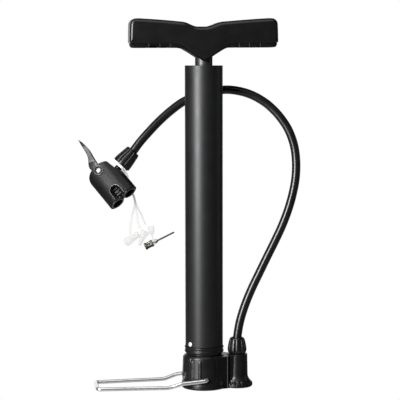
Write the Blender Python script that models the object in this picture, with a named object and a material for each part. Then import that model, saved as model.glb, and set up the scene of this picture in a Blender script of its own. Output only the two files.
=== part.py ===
"""Foot air pump with a folding wire pedal, a twin valve head on a hose and three tethered adapters.

All constants are millimetres in the pump's own frame: the origin is on the floor under the barrel's
axis, +Z is up, +X points to the hose outlet, -X to the pedal and -Y to the front.
"""
import math

import bmesh
import bpy
from mathutils import Matrix, Vector

MM = 0.001
GAP = 0.3

# facets around round pieces
WIDE = 40
MEDIUM = 26
NARROW = 18
TINY = 12

# barrel
BARREL_R = 19.0
BARREL_WALL = 1.0
BARREL_BOTTOM = 43.0
BARREL_TOP = 327.2
BORE_R = BARREL_R - BARREL_WALL

# base
BASE_TOP = 34.0
SOCKET_R = 16.4
SOCKET_FLOOR = 16.0
AIRWAY_Z = 11.0
TOWER_X = 34.0
TOWER_TOP = 33.5
FITTING_BORE_R = 6.3
PIVOT_Z = 11.0
PEDAL_WIRE_R = 2.0
PEDAL_LEG_Y = 24.7
PEDAL_PIN_Y = 19.2

# piston and rod
ROD_R = 8.8
ROD_WALL = 1.4
ROD_BOTTOM = 66.5
ROD_TOP = 352.0
PISTON_BOTTOM = 54.8
CUP_LOW, CUP_HIGH = 58.0, 63.4
STOP_SLEEVE_TOP = 80.0
BUSHING_BOTTOM = 303.0

# handle
HANDLE_HALF = 74.6
HANDLE_DEPTH = 28.0
HANDLE_END_TOP = 374.0
HANDLE_MID_TOP = 365.6
GRIP_TOP = 349.6
GRIP_BOTTOM = 344.7
WEB_TIP_Z = 331.2
WEB_SLOPE = math.radians(33.0)
NOTCH_X = (34.6, 44.9, 56.0)

# hose
HOSE_R = 4.4
HOSE_ROUTE = (
    (34.0, 0.0, 46.3), (34.4, 0.2, 51.4), (37.0, 0.9, 65.6), (42.0, 1.2, 81.8), (48.8, 1.2, 98.5),
    (56.7, 1.6, 114.6), (64.8, 2.0, 130.9), (73.3, 2.8, 147.4), (81.0, 3.4, 163.4),
    (87.5, 4.0, 179.9), (92.4, 4.8, 196.4), (95.5, 5.8, 212.4), (96.3, 7.2, 228.9),
    (94.4, 8.6, 245.4), (89.0, 10.4, 261.1), (81.0, 12.4, 273.8), (72.5, 14.4, 283.4),
    (63.5, 16.2, 290.7), (52.0, 18.4, 297.1), (39.0, 20.8, 301.1), (24.0, 23.2, 302.4),
    (4.0, 25.4, 299.2), (-16.0, 26.4, 291.1), (-29.9, 25.0, 281.7), (-42.8, 22.0, 270.8),
    (-54.8, 18.6, 258.9), (-63.4, 16.4, 249.5), (-70.3, 15.3, 240.6), (-74.7, 15.5, 235.7),
    (-79.0, 15.7, 230.9),
)
HOSE_POINTS = 56

# valve head: its frame has +X towards the hose, -Y to the front face and +Z away from the ports
HEAD_ORIGIN = (-81.3, 2.3, 194.5)
HEAD_ACROSS = (0.735, -0.103, 0.670)
HEAD_UP = (-0.528, 0.533, 0.661)
HEAD_HALF, HEAD_HALF_DEPTH = 16.6, 9.2
HEAD_SPREAD = 7.9
HEAD_TOP = 43.4
PORT_R = 5.6
PORT_DEPTH = 11.0
PIN_POINT = (-0.7, 37.4)
LEVER_TRAVEL = math.radians(75.0)
NECK_X, NECK_Z = 13.3, 28.6
NECK_TILT = math.radians(7.0)

# tethered adapters
STRAND_R = 1.0
STRAND_ROUTES = {
    "cone": ((-79.7, 20.1, 222.0), (-78.2, 22.4, 217.4), (-77.6, 23.0, 211.0), (-75.0, 22.4, 202.8),
             (-70.0, 19.9, 195.8), (-68.4, 19.2, 190.6), (-68.8, 18.8, 184.6), (-71.4, 18.1, 175.4),
             (-72.9, 18.3, 166.9), (-73.6, 18.4, 155.3)),
    "stem": ((-78.8, 17.4, 221.1), (-75.9, 19.8, 216.4), (-75.0, 20.8, 211.2), (-72.8, 20.3, 203.0),
             (-70.0, 17.4, 196.0), (-68.4, 16.6, 188.2), (-67.9, 16.2, 182.7), (-66.8, 14.4, 176.1),
             (-66.2, 12.8, 169.5), (-63.9, 11.5, 161.9)),
    "needle": ((-81.3, 22.0, 223.6), (-80.4, 25.0, 219.4), (-79.6, 25.8, 210.8), (-76.4, 25.0, 202.6),
               (-70.2, 22.5, 195.6), (-67.1, 21.5, 187.0), (-65.1, 21.3, 181.8),
               (-62.1, 20.3, 176.3), (-59.4, 19.2, 169.8), (-57.4, 18.4, 165.1)),
}
STRAND_POINTS = 24
CONE_TOP, CONE_AIM = (-64.7, 17.2, 156.0), (-0.82, 0.11, -0.56)
STEM_TOP, STEM_AIM = (-58.7, 10.3, 159.8), (-0.40, 0.05, -0.92)
HOLDER_TOP, HOLDER_LOW = (-52.4, 17.5, 163.5), (-51.2, 17.3, 155.1)
NEEDLE_FOOT, NEEDLE_AIM = (-58.7, 14.3, 143.2), (0.886, -0.120, 0.449)

PALETTE = {
    "black_plastic": ((0.018, 0.018, 0.020), 0.38, 0.0),
    "grip_rubber": ((0.012, 0.012, 0.013), 0.62, 0.0),
    "black_enamel": ((0.022, 0.023, 0.025), 0.34, 0.35),
    "rubber": ((0.014, 0.014, 0.015), 0.50, 0.0),
    "chrome": ((0.80, 0.81, 0.83), 0.12, 1.0),
    "steel": ((0.60, 0.61, 0.62), 0.28, 1.0),
    "brass": ((0.78, 0.60, 0.28), 0.28, 1.0),
    "grey_plastic": ((0.33, 0.34, 0.35), 0.40, 0.0),
    "clear_plastic": ((0.86, 0.88, 0.88), 0.35, 0.0),
}


# ---------------------------------------------------------------- helpers

def clear_scene():
    for item in list(bpy.data.objects):
        bpy.data.objects.remove(item, do_unlink=True)


def make_material(name):
    colour, roughness, metallic = PALETTE[name]
    material = bpy.data.materials.new(name)
    material.use_nodes = True
    shader = material.node_tree.nodes["Principled BSDF"]
    shader.inputs["Base Color"].default_value = (*colour, 1.0)
    shader.inputs["Roughness"].default_value = roughness
    shader.inputs["Metallic"].default_value = metallic
    return material


def link(name, data, material=None, parent=None, at=(0, 0, 0)):
    """Add an object whose location is given in millimetres in its parent's frame."""
    item = bpy.data.objects.new(name, data)
    bpy.context.scene.collection.objects.link(item)
    item.parent = parent
    item.location = Vector(at) * MM
    if material:
        data.materials.append(MATERIALS[material])
    return item


def pivot(name, at, parent=None, axes=None):
    """An empty at a joint's axis, or at the head's own frame when axes are given."""
    item = link(name, None, parent=parent, at=at)
    item.empty_display_size = 0.01
    if axes:
        item.rotation_euler = Matrix(axes).transposed().to_euler()
    return item


def finish_mesh(name, work, sharp=35.0):
    bmesh.ops.recalc_face_normals(work, faces=work.faces)
    mesh = bpy.data.meshes.new(name)
    work.to_mesh(mesh)
    work.free()
    mesh.shade_smooth()
    mesh.set_sharp_from_angle(angle=math.radians(sharp))
    return mesh


def skin(name, rings, loop=False, sharp=35.0):
    """Close a stack of rings with equal point counts; a loop joins its last ring to its first."""
    work = bmesh.new()
    rows = [[work.verts.new(Vector(point) * MM) for point in ring] for ring in rings]
    count = len(rows[0])
    pairs = list(zip(rows, rows[1:]))
    if loop:
        pairs.append((rows[-1], rows[0]))
    for low, high in pairs:
        for i in range(count):
            j = (i + 1) % count
            work.faces.new((low[i], low[j], high[j], high[i]))
    if not loop:
        work.faces.new(rows[0])
        work.faces.new(rows[-1])
    return finish_mesh(name, work, sharp)


def turned_mesh(name, profile, segments=MEDIUM, loop=False, flute=None, sharp=35.0):
    """Turn (radius, height) points about Z. flute(angle) scales the radius where it is given."""
    rings = []
    for radius, height in profile:
        ring = []
        for i in range(segments):
            angle = math.tau * i / segments
            reach = radius * (flute(angle, height) if flute else 1.0)
            ring.append((reach * math.cos(angle), reach * math.sin(angle), height))
        rings.append(ring)
    return skin(name, rings, loop, sharp)


def turned(name, profile, material, parent=None, at=(0, 0, 0), turn=(0, 0, 0), **options):
    item = link(name, turned_mesh(name, profile, **options), material, parent, at)
    item.rotation_euler = turn
    return item


def sleeve_profile(inner, outer, low, high, chamfer=0.4):
    return [(inner, low), (outer - chamfer, low), (outer, low + chamfer),
            (outer, high - chamfer), (outer - chamfer, high), (inner, high)]


def square_sleeve(inner, outer, low, high):
    return [(inner, low), (outer, low), (outer, high), (inner, high)]


def prism_mesh(name, outline, low, high):
    """Extrude an (x, z) outline along Y, from low to high."""
    return skin(name, [[(x, low, z) for x, z in outline], [(x, high, z) for x, z in outline]])


def slab_mesh(name, outline, low, high):
    """Extrude an (x, y) outline along Z, from low to high."""
    return skin(name, [[(x, y, low) for x, y in outline], [(x, y, high) for x, y in outline]])


def box_mesh(name, low, high):
    outline = [(low[0], low[1]), (high[0], low[1]), (high[0], high[1]), (low[0], high[1])]
    return slab_mesh(name, outline, low[2], high[2])


def helper(name, data, parent=None, at=(0, 0, 0), turn=(0, 0, 0)):
    """A cutter or an added lump: it shapes another object and is not a piece itself."""
    item = link(name, data, parent=parent, at=at)
    item.rotation_euler = turn
    item.hide_render = True
    item.display_type = 'WIRE'
    return item


def shape_with(target, tool, operation='DIFFERENCE'):
    modifier = target.modifiers.new(tool.name, 'BOOLEAN')
    modifier.operation = operation
    modifier.object = tool


def rod_tool(name, radius, length, parent=None, at=(0, 0, 0), turn=(0, 0, 0), segments=TINY):
    """A plain cylinder about its own Z, centred on its location."""
    profile = [(radius, -length / 2), (radius, length / 2)]
    return helper(name, turned_mesh(name, profile, segments), parent, at, turn)


def round_path(points, radius, steps=4):
    """Replace the inner corners of a path by arcs that start a given distance before them."""
    path = [Vector(points[0])]
    for before, corner, after in zip(points, points[1:], points[2:]):
        corner = Vector(corner)
        back = (Vector(before) - corner).normalized() * radius
        ahead = (Vector(after) - corner).normalized() * radius
        for i in range(steps + 1):
            t = i / steps
            path.append(corner + back * (1 - t) ** 2 + ahead * t ** 2)
    path.append(Vector(points[-1]))
    return path


def smooth_path(route, count):
    """Points at even spacing along a Catmull-Rom curve through the route."""
    knots = [Vector(p) for p in route]
    knots = [knots[0] * 2 - knots[1]] + knots + [knots[-1] * 2 - knots[-2]]
    fine = []
    for a, b, c, d in zip(knots, knots[1:], knots[2:], knots[3:]):
        for i in range(24):
            t = i / 24
            fine.append(0.5 * (2 * b + (c - a) * t + (2 * a - 5 * b + 4 * c - d) * t ** 2
                               + (3 * b - a - 3 * c + d) * t ** 3))
    fine.append(knots[-2])
    reach = [0.0]
    for a, b in zip(fine, fine[1:]):
        reach.append(reach[-1] + (b - a).length)
    path, k = [], 0
    for i in range(count):
        goal = reach[-1] * i / (count - 1)
        while k < len(fine) - 2 and reach[k + 1] < goal:
            k += 1
        path.append(fine[k].lerp(fine[k + 1], (goal - reach[k]) / (reach[k + 1] - reach[k])))
    return path


def wire(name, path, radius, material, parent=None, sides=2):
    curve = bpy.data.curves.new(name, 'CURVE')
    curve.dimensions = '3D'
    spline = curve.splines.new('POLY')
    spline.points.add(len(path) - 1)
    for point, place in zip(spline.points, path):
        point.co = (*(Vector(place) * MM), 1.0)
    curve.bevel_depth = radius * MM
    curve.bevel_resolution = sides
    curve.use_fill_caps = True
    return link(name, curve, material, parent)


def arc(centre, radius, start, end, steps):
    """Points of an arc, angles in degrees."""
    angles = [math.radians(start + (end - start) * i / steps) for i in range(steps + 1)]
    return [(centre[0] + radius * math.cos(a), centre[1] + radius * math.sin(a)) for a in angles]


def fluted(count, depth, phase=0.0):
    """Broad rounded ribs with narrow valleys between them."""
    def scale(angle, height):
        return 1.0 - depth * (1 - abs(math.cos(count * (angle - phase) / 2))) ** 2
    return scale


# ---------------------------------------------------------------- base

def build_base():
    body_profile = [(22.0, 0), (23.0, 1.4), (23.0, 4.4), (21.9, 8.0), (21.0, 31.2), (20.4, 32.6),
                    (19.6, BASE_TOP)]
    base = turned("base_body", body_profile, "black_plastic", segments=WIDE)
    web_outline = [(8, -17.5), (14, -16.4), (26, -10.0), (34, -8.0), (34, 8.0), (26, 10.0),
                   (14, 16.4), (8, 17.5)]
    web = helper("add_web", slab_mesh("add_web", web_outline, 0.0, 32.8))
    shape_with(base, web, 'UNION')
    tower_profile = [(15.0, 0), (15.8, 0.9), (15.8, 3.9), (12.6, 7.4), (10.95, 11.0),
                     (10.5, TOWER_TOP)]
    tower = helper("add_tower", turned_mesh("add_tower", tower_profile), at=(TOWER_X, 0, 0))
    shape_with(base, tower, 'UNION')
    socket = [(SOCKET_R, SOCKET_FLOOR), (SOCKET_R, BASE_TOP + 5)]
    shape_with(base, helper("cut_socket", turned_mesh("cut_socket", socket, MEDIUM)))
    chamber = [(6.0, AIRWAY_Z - 3), (6.0, SOCKET_FLOOR + 1)]
    shape_with(base, helper("cut_chamber", turned_mesh("cut_chamber", chamber, TINY)))
    airway = rod_tool("cut_airway", 1.8, TOWER_X, at=(TOWER_X / 2, 0, AIRWAY_Z),
                      turn=(0, math.pi / 2, 0))
    shape_with(base, airway)
    riser = [(2.2, AIRWAY_Z - 3), (2.2, 21), (FITTING_BORE_R, 21), (FITTING_BORE_R, TOWER_TOP + 4)]
    shape_with(base, helper("cut_riser", turned_mesh("cut_riser", riser, NARROW), at=(TOWER_X, 0, 0)))
    for side, label in ((-1, "front"), (1, "back")):
        hole = rod_tool("cut_pivot_" + label, PEDAL_WIRE_R + GAP, 6.6, at=(0, side * 21.9, PIVOT_Z),
                        turn=(math.pi / 2, 0, 0))
        shape_with(base, hole)


def build_plug():
    """The collar under the barrel: a spigot in the base, two ribs, and a spigot in the barrel."""
    profile = [(6.5, SOCKET_FLOOR + GAP), (16.0, SOCKET_FLOOR + GAP), (16.0, 34.3), (18.2, 34.3),
               (18.2, 36.2), (19.9, 36.7), (19.9, 38.8), (19.4, 39.2), (19.4, 40.7),
               (19.9, 41.1), (19.9, 42.7), (17.7, 42.7), (17.7, 49.0), (15.9, 49.0), (15.9, 51.3),
               (17.7, 51.3), (17.7, 53.3), (2.0, 53.3), (2.0, 45.4), (6.5, 45.4)]
    plug = turned("tube_plug", profile, "black_plastic", segments=WIDE, loop=True)
    for angle in RIVET_ANGLES:
        hole = rod_tool("cut_plug_rivet_%d" % angle, 1.6, 6, at=polar(15.5, angle, RIVET_Z),
                        turn=(0, math.pi / 2, math.radians(angle)))
        shape_with(plug, hole)
    ring = [(16.95 + x, 50.15 + z) for x, z in arc((0, 0), 0.75, 0, 300, 5)]
    turned("plug_o_ring", ring, "rubber", loop=True)


RIVET_Z = 45.9
RIVET_ANGLES = (216.0, 36.0)


def polar(radius, degrees, height):
    angle = math.radians(degrees)
    return (radius * math.cos(angle), radius * math.sin(angle), height)


def build_check_valve():
    turned("valve_seat", square_sleeve(1.9, 6.2, 42.6, 45.1), "rubber", segments=NARROW, loop=True)
    poppet = [(1.4, 34.7), (1.4, 40.2), (4.6, 40.2), (4.6, 42.3)]
    turned("valve_poppet", poppet, "brass", segments=TINY)
    turns, steps = 4, 8
    coil = []
    for i in range(turns * steps + 1):
        angle = math.tau * i / steps
        height = 29.9 + (39.5 - 29.9) * i / (turns * steps)
        coil.append((3.0 * math.cos(angle), 3.0 * math.sin(angle), height))
    wire("valve_spring", coil, 0.35, "steel", sides=1)
    cage = turned("valve_cage", [(6.2, 26.2), (6.2, 29.2)], "brass", segments=NARROW)
    for i in range(4):
        angle = 45.0 + 90.0 * i
        vent = rod_tool("cut_vent_%d" % i, 1.3, 6, at=polar(3.6, angle, 27.7), segments=8)
        shape_with(cage, vent)


def build_barrel():
    profile = square_sleeve(BORE_R, BARREL_R, BARREL_BOTTOM, BARREL_TOP)
    barrel = turned("barrel_tube", profile, "black_enamel", segments=WIDE, loop=True)
    for angle in RIVET_ANGLES:
        hole = rod_tool("cut_tube_rivet_%d" % angle, 1.6, 4, at=polar(18.5, angle, RIVET_Z),
                        turn=(0, math.pi / 2, math.radians(angle)))
        shape_with(barrel, hole)
    for label, angle in zip(("front", "back"), RIVET_ANGLES):
        dome = [(1.3, 13.2), (1.3, 19.3), (2.4, 19.3), (2.4, 19.7), (2.0, 20.3), (1.1, 20.7)]
        turned("tube_rivet_" + label, dome, "chrome", at=(0, 0, RIVET_Z), segments=TINY,
               turn=(0, math.pi / 2, math.radians(angle)))
    bushing = [(ROD_R + GAP, BUSHING_BOTTOM), (17.7, BUSHING_BOTTOM), (17.7, 326.9),
               (ROD_R + GAP, 326.9), (ROD_R + GAP, 319.0), (11.4, 319.0), (11.4, 315.6),
               (ROD_R + GAP, 315.6)]
    turned("top_bushing", bushing, "black_plastic", segments=WIDE, loop=True)
    wiper = square_sleeve(ROD_R + 0.15, 11.1, 315.9, 318.7)
    turned("rod_wiper", wiper, "rubber", loop=True)


def build_outlet():
    """The barbed fitting in the tower and the fluted nut that clamps the hose on it."""
    fitting = [(1.3, 21.4), (5.6, 21.4), (6.0, 21.8), (6.0, 39.2), (3.2, 39.8), (2.7, 41.8),
               (3.1, 42.1), (2.3, 45.5), (1.3, 45.5)]
    turned("hose_barb", fitting, "brass", at=(TOWER_X, 0, 0), segments=16, loop=True)
    nut = [(6.8, 33.9), (7.6, 33.9), (9.6, 36.4), (9.4, 40.0), (7.8, 47.6), (6.4, 50.1),
           (5.1, 50.1), (5.1, 41.2), (6.8, 40.4)]
    turned("base_hose_nut", nut, "black_plastic", at=(TOWER_X, 0, 0), segments=32, loop=True,
           flute=fluted(8, 0.06), sharp=50)


# ---------------------------------------------------------------- pedal

def build_pedal():
    """A bent wire loop: its ends turn in to the pivots and its far part hangs just over the floor."""
    joint = pivot("pedal_pivot", (0, 0, PIVOT_Z))
    half = [(0, PEDAL_PIN_Y, 0), (0, PEDAL_LEG_Y, 0), (-10, PEDAL_LEG_Y, -1.3),
            (-25, PEDAL_LEG_Y, -2.3), (-39, 22.2, -6.8), (-110, 17.5, -7.0)]
    front = [(x, -y, z) for x, y, z in half]
    back = list(reversed(half))
    path = round_path(front + back, 3.6, 4)
    wire("foot_pedal", path, PEDAL_WIRE_R, "chrome", joint, sides=3)


# ---------------------------------------------------------------- piston, rod and handle

def build_piston():
    cup = [(13.9, CUP_LOW + GAP), (16.8, CUP_LOW + GAP), (17.75, 59.6), (17.75, 61.8),
           (16.9, CUP_HIGH - GAP), (13.9, CUP_HIGH - GAP)]
    turned("piston_cup", cup, "rubber", loop=True)
    head = [(2.3, 57.6), (4.5, 57.6), (4.5, PISTON_BOTTOM), (17.3, PISTON_BOTTOM),
            (17.3, CUP_LOW), (13.4, CUP_LOW), (13.4, CUP_HIGH), (17.3, CUP_HIGH), (17.3, 66.2),
            (7.0, 66.2), (7.0, 78.0), (2.3, 78.0)]
    piston = turned("piston_head", head, "grey_plastic", loop=True)
    pin_turn = (math.pi / 2, 0, 0)
    shape_with(piston, rod_tool("cut_head_pin", 1.5, 20, at=(0, 0, 73), turn=pin_turn))
    screw = [(1.9, 70.5), (1.9, 57.3), (4.1, 57.3), (4.1, 55.4), (3.4, 54.9)]
    turned("piston_screw", list(reversed(screw)), "steel", segments=TINY)
    rod = turned("piston_rod", square_sleeve(ROD_R - ROD_WALL, ROD_R, ROD_BOTTOM, ROD_TOP),
                 "black_plastic", loop=True)
    shape_with(rod, rod_tool("cut_rod_pin", 1.5, 20, at=(0, 0, 73), turn=pin_turn))
    turned("rod_pin", [(1.2, -8.5), (1.2, 8.5)], "steel", at=(0, 0, 73), turn=pin_turn,
           segments=8)
    sleeve = square_sleeve(ROD_R + 0.35, 16.6, 66.5, STOP_SLEEVE_TOP)
    turned("stop_sleeve", sleeve, "rubber", loop=True)
    cap = [(7.0, 336.0), (7.0, 352.3), (8.6, 352.3), (8.6, 354.4)]
    turned("rod_top_plug", cap, "grey_plastic", segments=NARROW)


def top_height(x):
    """The handle's top edge: flat in the middle, a smooth rise, then a slow climb to each end."""
    x = abs(x)
    rise = min(max((x - 4.0) / 17.0, 0.0), 1.0)
    rise = rise * rise * (3 - 2 * rise)
    slope = max(x - 21.0, 0.0) * (HANDLE_END_TOP - 370.5) / (68.0 - 21.0)
    return HANDLE_MID_TOP + (370.5 - HANDLE_MID_TOP) * rise + slope


def web_edge(offset):
    """The underside's diagonal from the wing to the neck, moved up by an offset along its normal."""
    shift = offset / math.cos(WEB_SLOPE)
    start = (8.8, 336.4 + shift)
    end = (19.0, start[1] + (19.0 - 8.8) * math.tan(WEB_SLOPE))
    return start, end


def mirrored(half):
    """Close a right-hand outline that starts and ends on the middle line."""
    left = [(-x, z) for x, z in reversed(half) if x > 0.01]
    return half + left


def handle_outline():
    top = [(x, top_height(x)) for x in (0, 4, 7, 10, 13, 16, 19, 22, 34, 50, 68)]
    corner = [(68 + (x - 68) * 1.0, z) for x, z in arc((68.0, 367.6), 6.2, 72, 6, 4)]
    start, end = web_edge(1.6)
    side = [(HANDLE_HALF, GRIP_TOP)]
    under = [(32.0, GRIP_TOP), (25.0, 348.8), (21.5, 347.2), start, (1.6, WEB_TIP_Z + 2.5),
             (0, WEB_TIP_Z + 1.9)]
    return mirrored(top[:-1] + corner + side + under)


def build_handle():
    outline = handle_outline()
    half_depth = HANDLE_DEPTH / 2
    shell = link("handle_shell", prism_mesh("handle_shell", outline, -half_depth, half_depth),
                 "black_plastic")
    bevel_edges(shell, 4.0, 3)
    for side, label in ((-1, "left"), (1, "right")):
        pocket = box_mesh("cut_pocket_" + label, (22, -9.5, GRIP_TOP - 3), (70, 9.5, 367))
        tool = helper("cut_pocket_" + label, pocket)
        tool.rotation_euler = (0, 0, 0 if side > 0 else math.pi)
        shape_with(shell, tool)
        post = rod_tool("add_post_" + label, 3.6, 17.0, at=(side * 50, 0, 359.5), segments=TINY)
        shape_with(shell, post, 'UNION')
        pilot = rod_tool("cut_pilot_" + label, 1.3, 12, at=(side * 50, 0, 353.0), segments=8)
        shape_with(shell, pilot)
    socket = [(ROD_R + GAP, WEB_TIP_Z - 4), (ROD_R + GAP, 354.8)]
    shape_with(shell, helper("cut_rod_socket", turned_mesh("cut_rod_socket", socket, MEDIUM)))
    build_grip(half_depth)


def build_grip(half_depth):
    """The lower moulding: a band under each wing that thins along the web to a ring at the neck."""
    top_start, top_end = web_edge(1.6 - GAP)
    low_start, low_end = web_edge(0)
    upper = [(0, WEB_TIP_Z + 1.5), (1.6, WEB_TIP_Z + 2.1), top_start, (21.4, 346.8), (25.0, 348.4),
             (32.0, GRIP_TOP - GAP), (HANDLE_HALF - 0.6, GRIP_TOP - GAP)]
    lower = [(73.4, 347.4), (71.0, GRIP_BOTTOM)]
    for x in reversed(NOTCH_X):
        lower += [(x + 1.0, GRIP_BOTTOM), (x + 0.5, GRIP_BOTTOM + 1.6), (x - 0.5, GRIP_BOTTOM + 1.6),
                  (x - 1.0, GRIP_BOTTOM)]
    lower += [(28.0, GRIP_BOTTOM), (23.0, 344.4), low_end, low_start, (1.6, WEB_TIP_Z + 0.5),
              (0, WEB_TIP_Z)]
    outline = mirrored(upper + lower)
    grip = link("handle_grip", prism_mesh("handle_grip", outline, 1 - half_depth, half_depth - 1),
                "grip_rubber")
    bevel_edges(grip, 0.8, 1)
    socket = [(ROD_R + GAP, WEB_TIP_Z - 4), (ROD_R + GAP, 354.8)]
    shape_with(grip, helper("cut_grip_socket", turned_mesh("cut_grip_socket", socket, MEDIUM)))
    for side, label in ((-1, "left"), (1, "right")):
        hole = [(3.5, GRIP_BOTTOM - 1), (3.5, 347.2), (1.7, 347.2), (1.7, 351.0)]
        tool = helper("cut_screw_" + label, turned_mesh("cut_screw_" + label, hole, TINY),
                      at=(side * 50, 0, 0))
        shape_with(grip, tool)
        screw = [(2.6, 344.9), (3.1, 345.5), (3.1, 346.9), (1.0, 346.9), (1.0, 357.5)]
        turned("handle_screw_" + label, screw, "steel", at=(side * 50, 0, 0), segments=TINY)


def bevel_edges(item, width, steps):
    modifier = item.modifiers.new("rounding", 'BEVEL')
    modifier.width = width * MM
    modifier.segments = steps
    modifier.limit_method = 'ANGLE'
    modifier.angle_limit = math.radians(60)


# ---------------------------------------------------------------- valve head

def head_frame():
    across = Vector(HEAD_ACROSS).normalized()
    up = Vector(HEAD_UP)
    up = (up - across * up.dot(across)).normalized()
    back = up.cross(across)
    return pivot("head_frame", HEAD_ORIGIN, axes=[across, back, up])


def head_outline():
    """The head's section around its two barrels: an oval, a little fuller than an ellipse."""
    points = []
    for i in range(32):
        angle = math.tau * i / 32
        c, s = math.cos(angle), math.sin(angle)
        points.append((HEAD_HALF * math.copysign(abs(c) ** 0.88, c),
                       HEAD_HALF_DEPTH * math.copysign(abs(s) ** 0.88, s)))
    return points


def build_head(frame):
    body = link("chuck_body", slab_mesh("chuck_body", head_outline(), 0, HEAD_TOP + 2), "black_plastic",
                frame)
    side_section = [(-18.0, -1.0), (-18.0, 32.0), (-16.8, 35.0), (-14.2, 39.6), (-9.5, 42.2),
                    (-3.0, HEAD_TOP), (4.0, HEAD_TOP), (11.4, 40.8), (12.4, 33.6), (12.6, 30.0),
                    (15.8, 24.5), (18.0, 19.0), (18.0, -1.0)]
    limits = helper("keep_head", prism_mesh("keep_head", side_section, -12, 12), frame)
    shape_with(body, limits, 'INTERSECT')
    scoop = [(6.4, -4.0), (6.4, 8.0), (5.9, 10.6), (4.4, 13.0), (2.2, 14.6)]
    shape_with(body, helper("cut_scoop", turned_mesh("cut_scoop", scoop, NARROW), frame,
                            (-0.6, -11.4, 0)))
    neck_turn = (0, math.pi / 2 - NECK_TILT, 0)
    neck = [(5.4, -8.0), (5.4, -2.4), (3.9, -1.4), (3.6, -0.6), (3.6, 3.0), (3.1, 3.2), (3.1, 8.0)]
    shape_with(body, helper("add_neck", turned_mesh("add_neck", neck, NARROW), frame,
                            (NECK_X, 0, NECK_Z), neck_turn), 'UNION')
    slot = box_mesh("cut_lever_slot", (-7.8, -4.3, 33.0), (15.0, 4.3, 60.0))
    shape_with(body, helper("cut_lever_slot", slot, frame))
    for side, label in ((-1, "left"), (1, "right")):
        mouth = [(PORT_R, -1.0), (PORT_R, PORT_DEPTH)]
        shape_with(body, helper("cut_port_" + label, turned_mesh("cut_port_" + label, mouth, NARROW),
                                frame, (side * HEAD_SPREAD, 0, 0)))
    pin_hole = rod_tool("cut_lever_pin", 2.0, 30, frame, (PIN_POINT[0], 0, PIN_POINT[1]),
                        (math.pi / 2, 0, 0))
    shape_with(body, pin_hole)
    seat = [(4.9, 8.0), (4.9, 12.0)]
    shape_with(body, helper("cut_pin_seat", turned_mesh("cut_pin_seat", seat, NARROW), frame,
                            (PIN_POINT[0], 0, PIN_POINT[1]), (math.pi / 2, 0, 0)))
    plunger_way = [(3.0, PORT_DEPTH - 1.0), (3.0, 34.0)]
    shape_with(body, helper("cut_plunger_way", turned_mesh("cut_plunger_way", plunger_way, TINY),
                            frame, (-HEAD_SPREAD + 4.0, 0, 0)))
    grille = grille_cutters(frame)
    for tool in grille:
        shape_with(body, tool)


def grille_cutters(frame):
    """Four slots between the barrels, near the ports, cut into a shallow round recess."""
    tools = []
    for i in range(4):
        half = (2.4, 3.6, 3.6, 2.8)[i]
        height = 12.2 - 3.5 * i
        slot = box_mesh("cut_grille_%d" % i, (-0.6 - half, -8.0, height - 0.9),
                        (half - 0.6, -3.4, height + 0.9))
        tools.append(helper("cut_grille_%d" % i, slot, frame))
    return tools


def build_head_fittings(frame):
    for side, label in ((-1, "left"), (1, "right")):
        seal = square_sleeve(2.4, 5.2, 5.2, PORT_DEPTH - 0.8)
        turned("port_seal_" + label, seal, "rubber", frame, (side * HEAD_SPREAD, 0, 0),
               segments=NARROW, loop=True)
    pin = [(1.7, -8.8), (1.7, 8.3), (2.7, 8.3), (2.7, 8.9), (2.1, 9.5), (0.9, 9.8)]
    turned("lever_pin", pin, "chrome", frame, (PIN_POINT[0], 0, PIN_POINT[1]),
           (math.pi / 2, 0, 0), segments=TINY)
    ring = sleeve_profile(3.6, 6.2, 3.4, 5.1, 0.5)
    turned("tether_ring", ring, "clear_plastic", frame, (NECK_X, 0, NECK_Z),
           (0, math.pi / 2 - NECK_TILT, 0), segments=NARROW, loop=True)
    washer = square_sleeve(3.4, 7.4, 5.4, 6.1)
    turned("chuck_washer", washer, "clear_plastic", frame, (NECK_X, 0, NECK_Z),
           (0, math.pi / 2 - NECK_TILT, 0), segments=NARROW, loop=True)
    nut = [(6.0, 6.4), (9.7, 6.4), (9.1, 14.0), (7.7, 23.6), (6.7, 25.2), (5.1, 25.2), (5.1, 11.0),
           (6.0, 10.0)]
    turned("chuck_hose_nut", nut, "black_plastic", frame, (NECK_X, 0, NECK_Z),
           (0, math.pi / 2 - NECK_TILT, 0), segments=32, loop=True, flute=fluted(8, 0.05), sharp=50)


def build_lever(frame):
    """A tapered channel, open on its hose side, on a round hub that turns in the head's slot."""
    joint = pivot("lever_pivot", (PIN_POINT[0], 0, PIN_POINT[1]), frame)
    back = ((-4.0, 2.0), (-6.6, 10.0), (-5.4, 15.0), (-2.3, 19.4), (-0.1, 24.3), (1.1, 31.1),
            (1.9, 39.2), (3.0, 45.9))
    front = ((3.9, 1.0), (2.5, 9.0), (2.6, 12.0), (3.1, 16.1), (4.3, 21.3), (5.3, 28.1),
             (4.9, 34.1), (4.4, 40.4))
    widths = (4.0, 4.0, 4.0, 4.0, 3.8, 3.4, 2.6, 1.2)
    wall = 0.9
    rings = []
    for (bx, bz), (fx, fz), half in zip(back, front, widths):
        inner = max(half - wall, 0.3)
        floor_x = bx + (fx - bx) * 0.35
        floor_z = bz + (fz - bz) * 0.35
        rings.append([(bx, -half, bz), (fx, -half, fz), (fx, -inner, fz), (floor_x, -inner, floor_z),
                      (floor_x, inner, floor_z), (fx, inner, fz), (fx, half, fz), (bx, half, bz)])
    lever = link("lever", skin("lever", rings), "grey_plastic", joint)
    hub = helper("add_lever_hub", turned_mesh("add_lever_hub", [(4.1, -4.0), (4.1, 4.0)], NARROW), joint,
                 turn=(math.pi / 2, 0, 0))
    shape_with(lever, hub, 'UNION')
    shape_with(lever, rod_tool("cut_lever_bore", 2.0, 12, joint, turn=(math.pi / 2, 0, 0)))
    plunger = [(2.6, PORT_DEPTH + 1.2), (2.6, 32.6)]
    turned("chuck_plunger", plunger, "brass", frame, (-HEAD_SPREAD + 4.0, 0, 0), segments=TINY)


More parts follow.
